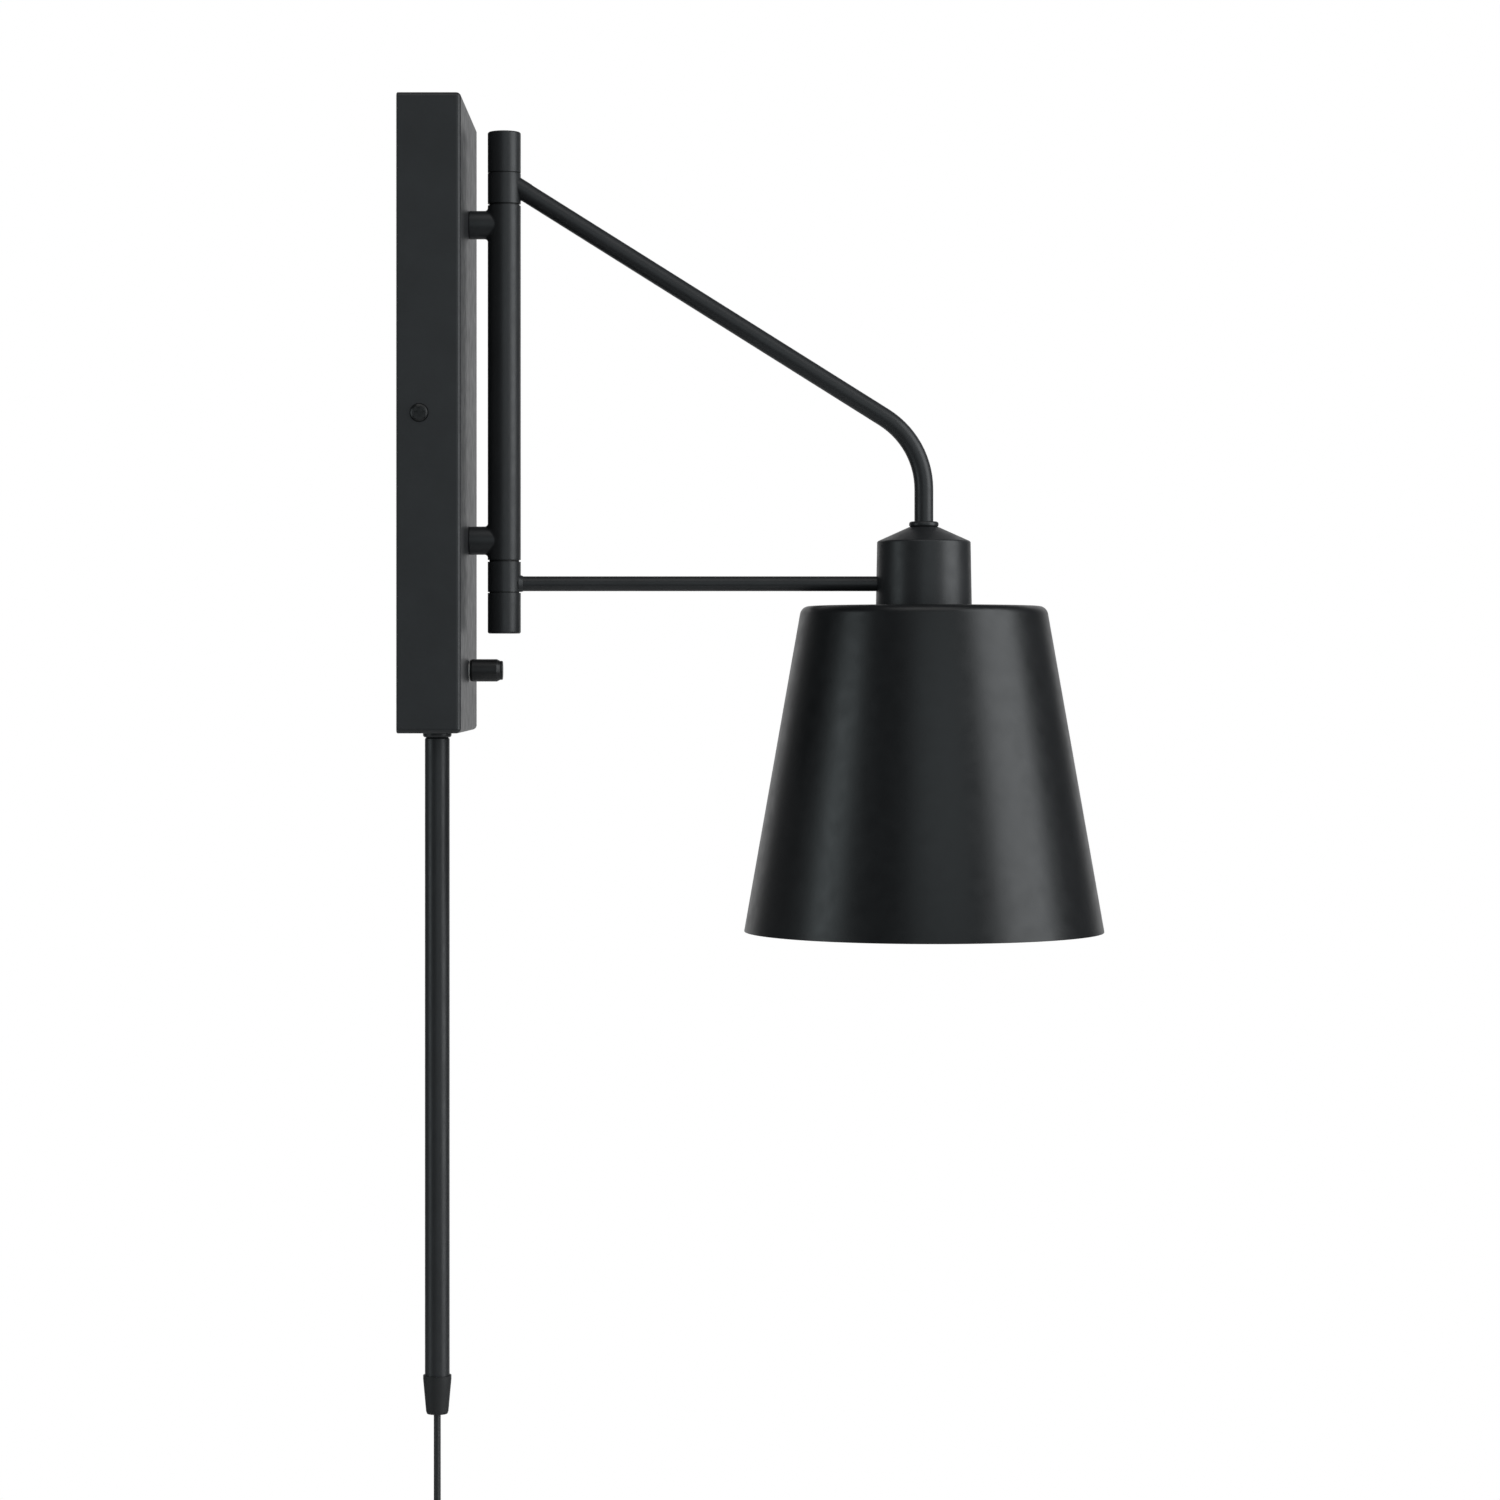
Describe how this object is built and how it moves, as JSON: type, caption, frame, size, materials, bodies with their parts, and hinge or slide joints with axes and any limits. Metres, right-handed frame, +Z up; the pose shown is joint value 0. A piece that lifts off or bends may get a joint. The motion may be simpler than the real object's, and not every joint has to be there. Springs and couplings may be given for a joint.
{
  "type": "swing arm wall sconce",
  "caption": "Plug-in wall lamp: rectangular canopy, vertical post on standoffs, hinged bent arm with strut, cone shade, rotary switch, cord cover tube and cord.",
  "frame": {"origin": "middle of the canopy's back, on the wall plane", "axes": "+X out of the wall towards the shade at rest, +Z up along the post, Y across the wall"},
  "size_m": [0.2954, 0.1524, 0.7714],
  "materials": {
    "black_powder_coat": "matte to satin black powder coat on steel",
    "black_screw": "blackened steel, satin",
    "zinc_steel": "zinc-plated steel, dull",
    "thrust_ring": "black nylon",
    "phenolic": "moulded black phenolic",
    "knob_plastic": "satin black plastic",
    "brass": "pressed brass",
    "cord_jacket": "flat two-conductor cord, black vinyl",
    "tie_strap": "black nylon strap",
    "wire_jacket": "black insulated lead",
    "connector_cap": "orange twist-on connector"
  },
  "bodies": {
    "wall_unit": {"canopy_shell": "black_powder_coat", "canopy_side_screw_1": "black_screw", "canopy_side_screw_2": "black_screw", "cord_coil": "cord_jacket", "cord_cover_collar": "black_powder_coat", "cord_cover_tube": "black_powder_coat", "cord_nipple": "zinc_steel", "cord_nipple_nut": "zinc_steel", "cord_tail": "cord_jacket", "cord_tie": "tie_strap", "lamp_lead_fixed": "wire_jacket", "lower_inner_ring": "thrust_ring", "lower_outer_ring": "thrust_ring", "lower_pivot_spigot": "zinc_steel", "lower_post_cap": "black_powder_coat", "lower_standoff_nipple": "zinc_steel", "lower_standoff_nut": "zinc_steel", "plug_blade_1": "brass", "plug_blade_2": "brass", "plug_body": "cord_jacket", "post_tube": "black_powder_coat", "power_cord": "cord_jacket", "strain_relief_clamp": "cord_jacket", "supply_lead": "cord_jacket", "switch_bushing": "zinc_steel", "switch_case": "phenolic", "switch_nut": "zinc_steel", "switch_wire_1": "wire_jacket", "switch_wire_2": "wire_jacket", "tube_end_ferrule": "black_powder_coat", "upper_inner_ring": "thrust_ring", "upper_outer_ring": "thrust_ring", "upper_pivot_spigot": "zinc_steel", "upper_post_cap": "black_powder_coat", "upper_standoff_nipple": "zinc_steel", "upper_standoff_nut": "zinc_steel", "wall_bracket": "zinc_steel", "wire_connector_1": "connector_cap", "wire_connector_2": "connector_cap"},
    "arm": {"upper_sleeve": "black_powder_coat", "lower_sleeve": "black_powder_coat", "stop_screw": "black_screw", "arm_tube": "black_powder_coat", "strut_rod": "black_powder_coat", "stem_collar": "black_powder_coat", "stem_nut_1": "zinc_steel", "stem_nut_2": "zinc_steel", "socket_cup": "black_powder_coat", "socket_strap": "zinc_steel", "socket_screw_1": "zinc_steel", "socket_screw_2": "zinc_steel", "socket_body": "phenolic", "socket_screw_shell": "brass", "socket_centre_contact": "brass", "shade": "black_powder_coat", "shade_ring": "phenolic", "lamp_lead_arm": "wire_jacket"},
    "knob": {"switch_shaft": "zinc_steel", "switch_knob": "knob_plastic"}
  },
  "joints": [
    {"name": "arm_swing", "type": "hinge", "parent": "wall_unit", "child": "arm", "pos_m": [0.0414, 0, 0.0162], "axis": [0, 0, 1], "range_deg": [-75, 75]},
    {"name": "knob_turn", "type": "hinge", "parent": "wall_unit", "child": "knob", "pos_m": [0.0265, 0, -0.1056], "axis": [1, 0, 0], "continuous": true}
  ]
}
